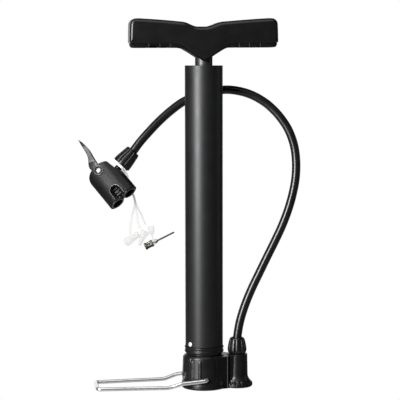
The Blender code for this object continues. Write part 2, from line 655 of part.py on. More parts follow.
# ---------------------------------------------------------------- hose and adapters

def build_hose():
    wire("hose", smooth_path(HOSE_ROUTE, HOSE_POINTS), HOSE_R, "rubber", sides=2)


def aim(direction):
    return Vector(direction).to_track_quat('Z', 'Y').to_euler()


def build_adapters():
    for name, route in STRAND_ROUTES.items():
        wire("tether_" + name, smooth_path(route, STRAND_POINTS), STRAND_R, "clear_plastic", sides=1)
    cone = [(1.2, 0), (3.4, 0), (3.4, 2.6), (3.0, 3.0), (4.2, 15.0), (3.4, 16.8), (1.6, 16.8)]
    turned("cone_nozzle", cone, "clear_plastic", at=CONE_TOP, turn=aim(CONE_AIM),
           segments=16, loop=True)
    stem = [(1.2, 0), (4.4, 0.3), (4.4, 3.4), (3.2, 3.9), (3.2, 7.0), (2.6, 7.4), (1.9, 15.8),
            (1.2, 15.8)]
    turned("stem_adapter", stem, "clear_plastic", at=STEM_TOP, turn=aim(STEM_AIM),
           segments=16, loop=True)
    build_needle()


def build_needle():
    """The ball needle, and the tether's cup whose lower loop holds the needle by its neck."""
    turn = aim(NEEDLE_AIM)
    base = [(1.6, 0), (3.6, 0.2), (3.6, 1.9), (3.2, 2.1), (3.2, 6.6), (3.6, 6.8), (3.6, 9.0),
            (1.6, 9.0)]
    turned("needle_base", base, "steel", at=NEEDLE_FOOT, turn=turn, segments=16, loop=True)
    collar = [(1.2, 11.2), (2.3, 11.2), (2.1, 12.4), (1.6, 14.2), (1.2, 14.2)]
    turned("needle_collar", collar, "steel", at=NEEDLE_FOOT, turn=turn, segments=TINY, loop=True)
    tube = [(0.85, 5.0), (0.85, 32.8), (0.55, 33.4)]
    turned("needle_tube", tube, "steel", at=NEEDLE_FOOT, turn=turn, segments=8)
    cup_aim = Vector(HOLDER_LOW) - Vector(HOLDER_TOP)
    cup = [(3.3, 0), (3.5, 0.4), (3.2, 4.5), (1.6, 8.2)]
    holder = turned("needle_holder", cup, "clear_plastic", at=HOLDER_TOP, turn=aim(cup_aim),
                    segments=16)
    loop_centre = Vector(NEEDLE_FOOT) + Vector(NEEDLE_AIM).normalized() * 10.1
    loop = helper("add_needle_loop", turned_mesh("add_needle_loop",
                  square_sleeve(1.3, 3.1, -0.7, 0.7), 16, loop=True), at=loop_centre, turn=turn)
    stalk = loop_centre - Vector(HOLDER_LOW)
    start = Vector(HOLDER_LOW) - stalk.normalized() * 1.5
    reach = stalk.length + 1.5 - 2.2
    stem = helper("add_needle_stalk", turned_mesh("add_needle_stalk", [(0.8, 0), (0.8, reach)], 8),
                  at=start, turn=aim(stalk))
    shape_with(holder, stem, 'UNION')
    shape_with(holder, loop, 'UNION')


def main():
    build_base()
    build_plug()
    build_check_valve()
    build_barrel()
    build_outlet()
    build_pedal()
    build_piston()
    build_handle()
    frame = head_frame()
    build_head(frame)
    build_head_fittings(frame)
    build_lever(frame)
    build_hose()
    build_adapters()
    bpy.context.view_layer.update()


clear_scene()
MATERIALS = {name: make_material(name) for name in PALETTE}
main()
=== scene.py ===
"""Foot air pump: fine surfaces, hose, adapters, materials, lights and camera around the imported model.

Sizes are millimetres in the pump's own frame unless a name says otherwise; MM turns them into metres.
"""
import math

import bmesh
import bpy
from mathutils import Matrix, Vector


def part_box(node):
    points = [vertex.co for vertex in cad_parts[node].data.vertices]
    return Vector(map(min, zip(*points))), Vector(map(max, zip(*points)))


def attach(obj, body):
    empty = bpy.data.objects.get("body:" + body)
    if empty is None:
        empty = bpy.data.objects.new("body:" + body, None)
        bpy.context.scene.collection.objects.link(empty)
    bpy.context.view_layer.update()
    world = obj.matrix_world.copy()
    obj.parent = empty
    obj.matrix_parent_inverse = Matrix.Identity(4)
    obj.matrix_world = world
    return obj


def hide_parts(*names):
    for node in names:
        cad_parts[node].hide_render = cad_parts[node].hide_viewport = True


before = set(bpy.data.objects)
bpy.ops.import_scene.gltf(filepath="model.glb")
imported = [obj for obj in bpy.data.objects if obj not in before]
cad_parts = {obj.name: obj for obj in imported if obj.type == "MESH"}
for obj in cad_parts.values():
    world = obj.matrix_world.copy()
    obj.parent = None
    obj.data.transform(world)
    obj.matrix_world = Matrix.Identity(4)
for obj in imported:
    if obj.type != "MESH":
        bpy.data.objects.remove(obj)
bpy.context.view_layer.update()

MM = 0.001
# Segments of a turned surface, from large to small.
FINE, ROUND, SMALL = 96, 48, 32

# The hose's middle line, from the outlet tower to the head.
HOSE_R = 4.4
HOSE_ROUTE = (
    (34.0, 0.0, 46.3), (34.4, 0.2, 51.4), (37.0, 0.9, 65.6), (42.0, 1.2, 81.8), (48.8, 1.2, 98.5),
    (56.7, 1.6, 114.6), (64.8, 2.0, 130.9), (73.3, 2.8, 147.4), (81.0, 3.4, 163.4),
    (87.5, 4.0, 179.9), (92.4, 4.8, 196.4), (95.5, 5.8, 212.4), (96.3, 7.2, 228.9),
    (94.4, 8.6, 245.4), (89.0, 10.4, 261.1), (81.0, 12.4, 273.8), (72.5, 14.4, 283.4),
    (63.5, 16.2, 290.7), (52.0, 18.4, 297.1), (39.0, 20.8, 301.1), (24.0, 23.2, 302.4),
    (4.0, 25.4, 299.2), (-16.0, 26.4, 291.1), (-29.9, 25.0, 281.7), (-42.8, 22.0, 270.8),
    (-54.8, 18.6, 258.9), (-63.4, 16.4, 249.5), (-70.3, 15.3, 240.6), (-74.7, 15.5, 235.7),
    (-79.0, 15.7, 230.9),
)
# The tethers' middle lines, each from the ring down to its adapter.
STRAND_R = 1.0
STRAND_ROUTES = {
    "cone": ((-79.7, 20.1, 222.0), (-78.2, 22.4, 217.4), (-77.6, 23.0, 211.0), (-75.0, 22.4, 202.8),
             (-70.0, 19.9, 195.8), (-68.4, 19.2, 190.6), (-68.8, 18.8, 184.6), (-71.4, 18.1, 175.4),
             (-72.9, 18.3, 166.9), (-73.6, 18.4, 155.3)),
    "stem": ((-78.8, 17.4, 221.1), (-75.9, 19.8, 216.4), (-75.0, 20.8, 211.2), (-72.8, 20.3, 203.0),
             (-70.0, 17.4, 196.0), (-68.4, 16.6, 188.2), (-67.9, 16.2, 182.7), (-66.8, 14.4, 176.1),
             (-66.2, 12.8, 169.5), (-63.9, 11.5, 161.9)),
    "needle": ((-81.3, 22.0, 223.6), (-80.4, 25.0, 219.4), (-79.6, 25.8, 210.8), (-76.4, 25.0, 202.6),
               (-70.2, 22.5, 195.6), (-67.1, 21.5, 187.0), (-65.1, 21.3, 181.8),
               (-62.1, 20.3, 176.3), (-59.4, 19.2, 169.8), (-57.4, 18.4, 165.1)),
}
# Where each adapter starts and the way it points.
CONE_TOP, CONE_AIM = (-64.7, 17.2, 156.0), (-0.82, 0.11, -0.56)
STEM_TOP, STEM_AIM = (-58.7, 10.3, 159.8), (-0.40, 0.05, -0.92)
HOLDER_TOP, HOLDER_LOW = (-52.4, 17.5, 163.5), (-51.2, 17.3, 155.1)
NEEDLE_FOOT, NEEDLE_AIM = (-58.7, 14.3, 143.2), (0.886, -0.120, 0.449)

# The head's own frame, then sizes and places in it.
HEAD_ORIGIN = (-81.3, 2.3, 194.5)
HEAD_ACROSS = (0.735, -0.103, 0.670)
HEAD_UP = (-0.528, 0.533, 0.661)
HEAD_HALF, HEAD_HALF_DEPTH = 16.6, 9.2
HEAD_OVAL = 0.88  # exponent of the block's outline; 1 would be an ellipse
HEAD_TOP = 43.4
HEAD_SPREAD = 7.9  # from the middle to each port
PORT_R, LOBE_R = 5.6, 7.8
PIN_X, PIN_Z = -0.7, 37.4
NECK_X, NECK_Z = 13.3, 28.6
NECK_TILT = math.radians(7.0)
SCOOP_X, SCOOP_Y = -0.6, -11.4

TOWER_X = 34.0
PIVOT_Z = 11.0
# Each rib's angle from the pedal's line, its half width in degrees and the height of its top.
BASE_RIBS = ((46.0, 2.9, 29.6), (71.0, 2.9, 29.6), (26.0, 15.5, 32.8))
BASE_CREASE, CREASE_HALF = 117.0, 2.2
# Angles in degrees: the notches in the tower's foot, from its front, and the rivets.
NOTCHES = (-52, -33, -14, 5)
RIVETS = (216.0, 36.0)
RIVET_Z = 45.9

# The web under the handle's middle: its slope, and the height of its underside at WEB_X.
WEB_SLOPE = math.radians(33.0)
WEB_X, WEB_Z = 8.8, 336.4
# The dip in the handle's top: its shift to the left, half width, floor and depth.
DIP_SHIFT, DIP_HALF = 2.8, 4.0
DIP_Z, DIP_DEPTH = 365.6, 4.9
# The handle's wings outside the dip: their start, reach, rise and crown.
WING_X, WING_SPAN = 21.0, 47.0
WING_RISE, WING_CROWN = 3.5, 0.0005
SHELL_DEPTH, GRIP_DEPTH = 14.0, 13.0
GRIP_RIBS = (34.6, 44.9, 56.0)
SCREW_X = 50.0
ROD_WAY_R = 9.1
# The handle sits a touch askew: its turn about LEAN_Z, and its shift.
HANDLE_LEAN, LEAN_Z = math.radians(-0.22), 350.0
HANDLE_SHIFT = Vector((-0.7, 0.0, 0.2))

# The photo's camera; distances here are in metres.
VIEW_YAW = math.radians(8.0)
CAMERA_DISTANCE, CAMERA_HEIGHT = 1.5, 0.3254
CAMERA_LENS = 133.9
CAMERA_ASIDE = -0.0040
CAMERA_PITCH, CAMERA_ROLL = math.radians(5.10), math.radians(-0.10)


# ---------------------------------------------------------------- mesh helpers

def box_mm(node):
    """A CAD node's bounding box in millimetres."""
    low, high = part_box(node)
    return Vector(low) / MM, Vector(high) / MM


def piece(name, data, finish, matrix=None, body="stand", node=None):
    """A visible piece in the pump's frame that rides on a body and may stand for a CAD node."""
    if matrix is not None:
        data.transform(matrix)
    item = bpy.data.objects.new(name, data)
    bpy.context.scene.collection.objects.link(item)
    data.materials.append(MAT[finish])
    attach(item, body)
    if node:
        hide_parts(node)
    return item


def place(at=(0, 0, 0), aim=None, base=None):
    """A matrix that puts a mesh at a point in millimetres with its Z along a direction."""
    matrix = Matrix.Translation(Vector(at) * MM)
    if aim is not None:
        matrix = matrix @ Vector(aim).to_track_quat('Z', 'Y').to_matrix().to_4x4()
    return base @ matrix if base is not None else matrix


def finish_mesh(name, work, sharp=40.0):
    """Turn a bmesh into a smooth-shaded mesh with its sharp edges marked."""
    bmesh.ops.recalc_face_normals(work, faces=work.faces)
    mesh = bpy.data.meshes.new(name)
    work.to_mesh(mesh)
    work.free()
    mesh.shade_smooth()
    mesh.set_sharp_from_angle(angle=math.radians(sharp))
    return mesh


def skin(name, rings, loop=False, sharp=40.0):
    """Close a stack of rings with equal point counts; a loop joins its last ring to its first."""
    work = bmesh.new()
    rows = [[work.verts.new(Vector(point) * MM) for point in ring] for ring in rings]
    count = len(rows[0])
    pairs = list(zip(rows, rows[1:]))
    if loop:
        pairs.append((rows[-1], rows[0]))
    for low, high in pairs:
        for i in range(count):
            j = (i + 1) % count
            work.faces.new((low[i], low[j], high[j], high[i]))
    if not loop:
        caps = [work.faces.new(rows[0]), work.faces.new(rows[-1])]
        bmesh.ops.triangulate(work, faces=caps, ngon_method='EAR_CLIP')
    return finish_mesh(name, work, sharp)


def soften(points, radius, closed=False, steps=4):
    """Round the corners of a profile, by no more than 40 % of each neighbouring side."""
    spots = [Vector(p) for p in points]
    count = len(spots)
    path = []
    for i, corner in enumerate(spots):
        if not closed and i in (0, count - 1):
            path.append(tuple(corner))
            continue
        before = spots[i - 1] - corner
        after = spots[(i + 1) % count] - corner
        cut = min(radius, before.length * 0.4, after.length * 0.4)
        if cut < 0.02 or before.angle(after) > math.radians(176):
            path.append(tuple(corner))
            continue
        start = corner + before.normalized() * cut
        end = corner + after.normalized() * cut
        for k in range(steps + 1):
            t = k / steps
            path.append(tuple(start * (1 - t) ** 2 + corner * (2 * t * (1 - t)) + end * t ** 2))
    return path


def turned_mesh(name, profile, segments=FINE, loop=False, shape=None, sharp=40.0):
    """Turn (radius, height) points about Z. shape(angle, radius, height) gives a changed radius."""
    rings = []
    for radius, height in profile:
        ring = []
        for i in range(segments):
            angle = math.tau * i / segments
            reach = shape(angle, radius, height) if shape else radius
            ring.append((reach * math.cos(angle), reach * math.sin(angle), height))
        rings.append(ring)
    return skin(name, rings, loop, sharp)


def turned(name, profile, finish, matrix=None, body="stand", node=None, rounding=0.4, loop=False,
           **options):
    """A visible turned piece with its profile's corners rounded."""
    soft = soften(profile, rounding, closed=loop)
    mesh = turned_mesh(name, soft, loop=loop, **options)
    return piece(name, mesh, finish, matrix, body, node)


def slab_mesh(name, outline, low, high):
    """Extrude an (x, y) outline between two heights."""
    return skin(name, [[(x, y, low) for x, y in outline], [(x, y, high) for x, y in outline]])


def prism_mesh(name, outline, low, high):
    """Extrude an (x, z) outline between two depths."""
    return skin(name, [[(x, low, z) for x, z in outline], [(x, high, z) for x, z in outline]])


def box_mesh(name, low, high):
    """A box between two opposite corners."""
    outline = [(low[0], low[1]), (high[0], low[1]), (high[0], high[1]), (low[0], high[1])]
    return slab_mesh(name, outline, low[2], high[2])


def polar(radius, degrees, height=RIVET_Z):
    """A point at a compass angle about the pump's axis."""
    angle = math.radians(degrees)
    return (radius * math.cos(angle), radius * math.sin(angle), height)


def arc(centre, radius, start, end, steps):
    """Points on a circle from one angle to another, in degrees."""
    angles = [math.radians(start + (end - start) * i / steps) for i in range(steps + 1)]
    return [(centre[0] + radius * math.cos(a), centre[1] + radius * math.sin(a)) for a in angles]


def dense(points, steps=4):
    """Points on a Catmull-Rom curve, a fixed number between each two given ones."""
    knots = [Vector(p) for p in points]
    knots = [knots[0] * 2 - knots[1]] + knots + [knots[-1] * 2 - knots[-2]]
    path = []
    for a, b, c, d in zip(knots, knots[1:], knots[2:], knots[3:]):
        for i in range(steps):
            t = i / steps
            path.append(0.5 * (2 * b + (c - a) * t + (2 * a - 5 * b + 4 * c - d) * t ** 2
                               + (3 * b - a - 3 * c + d) * t ** 3))
    return path + [knots[-2]]


def smooth_path(route, spacing=2.0):
    """Points at even spacing along a Catmull-Rom curve through the route."""
    fine = dense(route, 24)
    reach = [0.0]
    for a, b in zip(fine, fine[1:]):
        reach.append(reach[-1] + (b - a).length)
    count = max(int(reach[-1] / spacing), 2)
    path, k = [], 0
    for i in range(count + 1):
        goal = reach[-1] * i / count
        while k < len(fine) - 2 and reach[k + 1] < goal:
            k += 1
        path.append(fine[k].lerp(fine[k + 1], (goal - reach[k]) / (reach[k + 1] - reach[k])))
    return path


def round_path(points, radius, steps=10):
    """Replace the inner corners of a path by arcs that start a given distance before them."""
    path = [Vector(points[0])]
    for before, corner, after in zip(points, points[1:], points[2:]):
        corner = Vector(corner)
        back = (Vector(before) - corner).normalized() * radius
        ahead = (Vector(after) - corner).normalized() * radius
        for i in range(steps + 1):
            t = i / steps
            path.append(corner + back * (1 - t) ** 2 + ahead * t ** 2)
    path.append(Vector(points[-1]))
    return path


def wire_data(name, path, radius, sides=10):
    """A round wire along a path, as a curve with filled ends."""
    curve = bpy.data.curves.new(name, 'CURVE')
    curve.dimensions = '3D'
    spline = curve.splines.new('POLY')
    spline.points.add(len(path) - 1)
    for point, spot in zip(spline.points, path):
        point.co = (*(Vector(spot) * MM), 1.0)
    curve.bevel_depth = radius * MM
    curve.bevel_resolution = sides
    curve.use_fill_caps = True
    return curve


def combine(target, parts, operation, solver='EXACT'):
    """Boolean the helper meshes with the target and keep only the result's mesh."""
    tools = []
    for i, (mesh, matrix) in enumerate(parts):
        tool = bpy.data.objects.new("tool_%s_%d" % (target.name, i), mesh)
        bpy.context.scene.collection.objects.link(tool)
        tool.matrix_world = matrix
        modifier = target.modifiers.new(tool.name, 'BOOLEAN')
        modifier.operation = operation
        modifier.solver = solver
        modifier.object = tool
        tools.append(tool)
    bake(target)
    for tool in tools:
        bpy.data.objects.remove(tool, do_unlink=True)


def bake(item):
    """Replace an object's mesh by what its modifiers make of it."""
    bpy.context.view_layer.update()
    graph = bpy.context.evaluated_depsgraph_get()
    mesh = bpy.data.meshes.new_from_object(item.evaluated_get(graph), depsgraph=graph)
    item.modifiers.clear()
    item.data = mesh


def melt(item, voxel, passes):
    """Remesh to even small faces and smooth them, so cut edges become small fillets."""
    remesh = item.modifiers.new("even_faces", 'REMESH')
    remesh.mode = 'VOXEL'
    remesh.voxel_size = voxel * MM
    smooth = item.modifiers.new("fillets", 'SMOOTH')
    smooth.factor = 0.5
    smooth.iterations = passes
    bake(item)
    drop_specks(item)
    item.data.shade_smooth()


def drop_specks(item):
    """Keep only the largest connected part of a mesh."""
    work = bmesh.new()
    work.from_mesh(item.data)
    islands = []
    unseen = set(work.verts)
    while unseen:
        island, front = [], [unseen.pop()]
        while front:
            vert = front.pop()
            island.append(vert)
            for edge in vert.link_edges:
                other = edge.other_vert(vert)
                if other in unseen:
                    unseen.remove(other)
                    front.append(other)
        islands.append(island)
    islands.sort(key=len)
    for island in islands[:-1]:
        bmesh.ops.delete(work, geom=island, context='VERTS')
    work.to_mesh(item.data)
    work.free()


def weld(item, reach=0.004):
    """Merge points closer than reach (mm) and drop the faces without area that this leaves."""
    work = bmesh.new()
    work.from_mesh(item.data)
    bmesh.ops.remove_doubles(work, verts=work.verts, dist=reach * MM)
    bmesh.ops.dissolve_degenerate(work, edges=work.edges, dist=reach * MM)
    work.to_mesh(item.data)
    work.free()


def smooth_faces(item, sharp=30.0):
    """Shade smooth, with edges sharper than an angle in degrees kept crisp."""
    item.data.shade_smooth()
    item.data.set_sharp_from_angle(angle=math.radians(sharp))


def flutes(count, depth, low, high):
    """Broad rounded ribs with narrow valleys, between two heights."""
    def shape(angle, radius, height):
        if not low < height < high:
            return radius
        fade = min(1.0, (height - low) / 1.2, (high - height) / 2.0)
        valley = (1 - abs(math.cos(count * angle / 2))) ** 3
        return radius - depth * fade * valley
    return shape


def outer_only(shape, least):
    """Apply a shape only to points at or beyond a radius, so that the bore stays round."""
    def limited(angle, radius, height):
        return shape(angle, radius, height) if radius >= least else radius
    return limited


# ---------------------------------------------------------------- materials

def new_material(name):
    """A node material with its tree and its shader."""
    material = bpy.data.materials.new(name)
    material.use_nodes = True
    tree = material.node_tree
    return material, tree, tree.nodes["Principled BSDF"]


def noise(tree, scale, detail=4.0, rough=0.55):
    """A noise in the object's own coordinates; scale is in cycles per metre."""
    place_node = tree.nodes.new("ShaderNodeTexCoord")
    texture = tree.nodes.new("ShaderNodeTexNoise")
    texture.inputs["Scale"].default_value = scale
    texture.inputs["Detail"].default_value = detail
    texture.inputs["Roughness"].default_value = rough
    tree.links.new(place_node.outputs["Object"], texture.inputs["Vector"])
    return texture


def ramp(tree, source, stops):
    """Map a 0-1 value through colour stops of (position, (r, g, b))."""
    node = tree.nodes.new("ShaderNodeValToRGB")
    elements = node.color_ramp.elements
    while len(elements) < len(stops):
        elements.new(0.5)
    for element, (position, colour) in zip(elements, stops):
        element.position = position
        element.color = (*colour, 1.0)
    tree.links.new(source, node.inputs["Fac"])
    return node.outputs["Color"]


def spread(tree, source, low, high):
    """Map the middle of a noise to a value range."""
    node = tree.nodes.new("ShaderNodeMapRange")
    node.inputs["From Min"].default_value = 0.3
    node.inputs["From Max"].default_value = 0.7
    node.inputs["To Min"].default_value = low
    node.inputs["To Max"].default_value = high
    tree.links.new(source, node.inputs["Value"])
    return node.outputs["Result"]


def bump(tree, shader, layers):
    """Stack bumps of (height source, strength, distance in mm)."""
    previous = None
    for source, strength, distance in layers:
        node = tree.nodes.new("ShaderNodeBump")
        node.inputs["Strength"].default_value = strength
        node.inputs["Distance"].default_value = distance * MM
        tree.links.new(source, node.inputs["Height"])
        if previous:
            tree.links.new(previous, node.inputs["Normal"])
        previous = node.outputs["Normal"]
    tree.links.new(previous, shader.inputs["Normal"])


def grey(value, tint=(1.0, 1.0, 1.0)):
    """A grey of one brightness, slightly tinted."""
    return tuple(value * t for t in tint)


def moulded(name, tone, rough, grain=0.35, specular=0.5):
    """Moulded plastic or rubber: fine spark-eroded grain, faint flow clouds and uneven gloss."""
    material, tree, shader = new_material(name)
    clouds = noise(tree, 90.0, 3.0)
    grain_noise = noise(tree, 2600.0, 2.0)
    scuffs = noise(tree, 420.0, 6.0, 0.7)
    low, high = grey(tone * 0.75, (1.0, 1.0, 1.02)), grey(tone * 1.3, (1.0, 1.0, 1.03))
    colour = ramp(tree, clouds.outputs["Fac"], [(0.3, low), (0.7, high)])
    tree.links.new(colour, shader.inputs["Base Color"])
    tree.links.new(spread(tree, scuffs.outputs["Fac"], rough - 0.010, rough + 0.014),
                   shader.inputs["Roughness"])
    shader.inputs["Specular IOR Level"].default_value = specular
    bump(tree, shader, [(grain_noise.outputs["Fac"], grain, 0.05), (clouds.outputs["Fac"], 0.05, 0.4)])
    return material


def enamel(name):
    """Satin black stove enamel: fine orange peel with tiny bright flecks."""
    material, tree, shader = new_material(name)
    peel = noise(tree, 1100.0, 2.0)
    clouds = noise(tree, 60.0, 3.0)
    place_node = tree.nodes.new("ShaderNodeTexCoord")
    flecks = tree.nodes.new("ShaderNodeTexVoronoi")
    flecks.inputs["Scale"].default_value = 1500.0
    tree.links.new(place_node.outputs["Object"], flecks.inputs["Vector"])
    colour = ramp(tree, flecks.outputs["Distance"],
                  [(0.0, (0.050, 0.052, 0.055)), (0.12, (0.008, 0.0083, 0.0090)),
                   (1.0, (0.0042, 0.0044, 0.0049))])
    tree.links.new(colour, shader.inputs["Base Color"])
    shader.inputs["Metallic"].default_value = 0.35
    tree.links.new(spread(tree, clouds.outputs["Fac"], 0.41, 0.47), shader.inputs["Roughness"])
    bump(tree, shader, [(peel.outputs["Fac"], 0.30, 0.06), (flecks.outputs["Distance"], 0.10, 0.03)])
    return material


def metal(name, colour, rough, metallic=1.0):
    """Plated or turned metal with faint wear."""
    material, tree, shader = new_material(name)
    wear = noise(tree, 300.0, 5.0, 0.7)
    marks = noise(tree, 1400.0, 3.0, 0.6)
    dark = tuple(c * 0.82 for c in colour)
    tree.links.new(ramp(tree, wear.outputs["Fac"], [(0.35, dark), (0.6, colour)]),
                   shader.inputs["Base Color"])
    shader.inputs["Metallic"].default_value = metallic
    tree.links.new(spread(tree, wear.outputs["Fac"], rough, rough + 0.08), shader.inputs["Roughness"])
    bump(tree, shader, [(marks.outputs["Fac"], 0.08, 0.03)])
    return material


def translucent(name, tone, cover):
    """Milky soft plastic: cover is the share of light that doesn't pass straight through."""
    material, tree, shader = new_material(name)
    clouds = noise(tree, 250.0, 3.0)
    low, high = grey(tone * 0.92, (1.0, 1.0, 0.97)), grey(tone * 1.06, (1.0, 1.0, 0.99))
    tree.links.new(ramp(tree, clouds.outputs["Fac"], [(0.3, low), (0.7, high)]),
                   shader.inputs["Base Color"])
    tree.links.new(spread(tree, clouds.outputs["Fac"], 0.45, 0.6), shader.inputs["Roughness"])
    tree.links.new(spread(tree, clouds.outputs["Fac"], cover * 0.9, cover * 1.1),
                   shader.inputs["Alpha"])
    shader.inputs["Specular IOR Level"].default_value = 0.25
    bump(tree, shader, [(clouds.outputs["Fac"], 0.10, 0.2)])
    return material


def make_materials():
    """Every finish on the pump. Numbers are tone, roughness, grain and shine unless named."""
    return {
        "black_plastic": moulded("black_plastic", 0.0032, 0.31, 0.12, 0.38),
        "base_plastic": moulded("base_plastic", 0.0046, 0.33, 0.12, 0.28),
        "head_plastic": moulded("head_plastic", 0.0042, 0.28, 0.03, 0.13),
        # A lighter plastic for thin raised rims: the raised edges catch the lamps' real light, and their
        # lighter tone is a painted highlight on top of it.
        "highlight_rim_plastic": moulded("highlight_rim_plastic", 0.020, 0.28, 0.02, 0.5),
        "rod_plastic": moulded("rod_plastic", 0.012, 0.42, 0.15, 0.5),
        "grip_rubber": moulded("grip_rubber", 0.0025, 0.60, 0.6, 0.05),
        "black_enamel": enamel("black_enamel"),
        "rubber": moulded("rubber", 0.010, 0.55),
        "hose_rubber": moulded("hose_rubber", 0.006, 0.25, 0.02, 0.34),
        "chrome": metal("chrome", (0.76, 0.76, 0.76), 0.13, metallic=0.88),
        "rivet_metal": metal("rivet_metal", (0.85, 0.85, 0.86), 0.36, metallic=0.8),
        "steel": metal("steel", (0.55, 0.55, 0.54), 0.32),
        "knurled_steel": metal("knurled_steel", (0.10, 0.096, 0.086), 0.28),
        "dark_steel": metal("dark_steel", (0.045, 0.043, 0.040), 0.34),
        "brass": metal("brass", (0.78, 0.60, 0.28), 0.25),
        "grey_plastic": moulded("grey_plastic", 0.30, 0.34, 0.2),
        "lever_plastic": moulded("lever_plastic", 0.016, 0.24, 0.02, 0.45),
        "clear_plastic": translucent("clear_plastic", 0.36, 0.23),
        "milky_plastic": translucent("milky_plastic", 0.75, 0.85),
    }


# ---------------------------------------------------------------- camera and light

def view_point(x, depth, height):
    """Pump coordinates in metres of a point given to the camera's right, away from it and up."""
    c, s = math.cos(VIEW_YAW), math.sin(VIEW_YAW)
    return Vector((x * c + depth * s, -x * s + depth * c, height))


def add_camera():
    """The photo's camera: a long lens near the handle's height, looking slightly down."""
    camera = bpy.data.objects.new("camera", bpy.data.cameras.new("camera"))
    bpy.context.scene.collection.objects.link(camera)
    camera.data.lens = CAMERA_LENS
    camera.data.sensor_width = 36.0
    camera.data.clip_end = 50.0
    camera.location = view_point(0.0, -CAMERA_DISTANCE, CAMERA_HEIGHT)
    drop = CAMERA_DISTANCE * math.tan(CAMERA_PITCH)
    target = view_point(CAMERA_ASIDE, 0.0, CAMERA_HEIGHT - drop)
    look = (target - camera.location).to_track_quat('-Z', 'Y').to_matrix()
    camera.rotation_euler = (look @ Matrix.Rotation(CAMERA_ROLL, 3, 'Z')).to_euler()
    bpy.context.scene.camera = camera


def add_softbox(name, spot, target, size, power):
    """A white rectangular light at one view point, aimed at another."""
    light = bpy.data.lights.new(name, 'AREA')
    light.shape = 'RECTANGLE'
    light.size, light.size_y = size
    light.energy = power
    item = bpy.data.objects.new(name, light)
    bpy.context.scene.collection.objects.link(item)
    item.location = view_point(*spot)
    item.rotation_euler = (view_point(*target) - item.location).to_track_quat('-Z', 'Y').to_euler()
    item.visible_camera = False


def facing(tree, direction):
    """How closely a ray into the world runs along a direction; 1 when parallel."""
    coordinates = tree.nodes.new("ShaderNodeTexCoord")
    product = tree.nodes.new("ShaderNodeVectorMath")
    product.operation = 'DOT_PRODUCT'
    tree.links.new(coordinates.outputs["Generated"], product.inputs[0])
    product.inputs[1].default_value = direction
    return product.outputs["Value"]


def add_world():
    """Plain white to look at. To be lit by: a dark room, a white backdrop and a pale table."""
    world = bpy.data.worlds.new("studio")
    world.use_nodes = True
    tree = world.node_tree
    background = tree.nodes["Background"]
    backdrop = ramp(tree, facing(tree, view_point(0, 1, 0)),
                    [(0.0, grey(0.0)), (0.84, grey(0.0)), (0.93, grey(1.0)), (1.0, grey(1.0))])
    table = ramp(tree, facing(tree, (0.0, 0.0, -1.0)),
                 [(0.0, grey(0.012)), (0.25, grey(0.02)), (0.6, grey(0.45)), (1.0, grey(0.6))])
    room = tree.nodes.new("ShaderNodeMix")
    room.data_type = 'RGBA'
    room.blend_type = 'ADD'
    room.inputs["Factor"].default_value = 1.0
    tree.links.new(backdrop, room.inputs["A"])
    tree.links.new(table, room.inputs["B"])
    path = tree.nodes.new("ShaderNodeLightPath")
    mix = tree.nodes.new("ShaderNodeMix")
    mix.data_type = 'RGBA'
    tree.links.new(path.outputs["Is Camera Ray"], mix.inputs["Factor"])
    tree.links.new(room.outputs["Result"], mix.inputs["A"])
    mix.inputs["B"].default_value = (1.0, 1.0, 1.0, 1.0)
    tree.links.new(mix.outputs["Result"], background.inputs["Color"])
    bpy.context.scene.world = world


def add_lights():
    """Two tall boxes at the left make the long highlights; the others only fill."""
    add_softbox("key_high", (-0.74, -0.90, 0.52), (0.0, 0.0, 0.30), (0.42, 0.70), 27.0)
    add_softbox("key_tall", (-0.72, -0.92, 0.20), (0.0, 0.0, 0.20), (0.42, 1.20), 16.0)
    add_softbox("upper_left", (-0.75, -0.70, 1.25), (-0.05, 0.0, 0.25), (0.5, 0.4), 7.5)
    add_softbox("top", (0.0, -0.45, 1.45), (0.0, 0.0, 0.3), (0.9, 0.9), 5.0)
    add_softbox("rim_right", (1.2, 0.25, 0.30), (0.0, 0.0, 0.2), (0.3, 0.9), 0.8)


# ---------------------------------------------------------------- cords

def build_hose():
    """The hose from the outlet tower to the head; the head and the pieces on it are gathered in a list
    that nothing uses.
    """
    path = smooth_path(HOSE_ROUTE)
    hose = piece("air_hose", wire_data("air_hose", path, HOSE_R, 10), "hose_rubber", node="hose")
    on_hose = [bpy.data.objects[name] for name in (
        "fine_chuck_nut", "fine_washer", "fine_tether_ring", "fine_head", "port_rim_left",
        "port_rim_right", "pin_collar", "scoop_lip", "fine_lever_pin", "fine_lever")]
    on_hose += [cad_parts[name] for name in ("chuck_plunger", "port_seal_left", "port_seal_right")]


def build_strands():
    """The three tethers that hang from the ring at the head, each with its adapter."""
    for name, route in STRAND_ROUTES.items():
        path = smooth_path(route, 1.0)
        strand = piece("strand_" + name, wire_data("strand_" + name, path, STRAND_R, 6),
                       "clear_plastic", node="tether_" + name)


# ---------------------------------------------------------------- base, collar and barrel

def base_ribs(angle, radius, height):
    """Two narrow ribs, a broad pad and a crease on each side of the pedal's line."""
    if not 8.0 < height < 33.0 or radius < 20.0:
        return radius
    turn = abs(math.degrees(angle) % 360.0 - 180.0)
    rise = 0.0
    for middle, half, top in BASE_RIBS:
        across = max(0.0, min(1.0, (half + 0.8 - abs(turn - middle)) / 1.2))
        along = max(0.0, min(1.0, (height - 8.4) / 1.2, (top - height) / 0.8))
        rise = max(rise, across * along)
    crease = max(0.0, 1.0 - abs(turn - BASE_CREASE) / CREASE_HALF)
    return radius + 0.55 * rise - 0.9 * crease


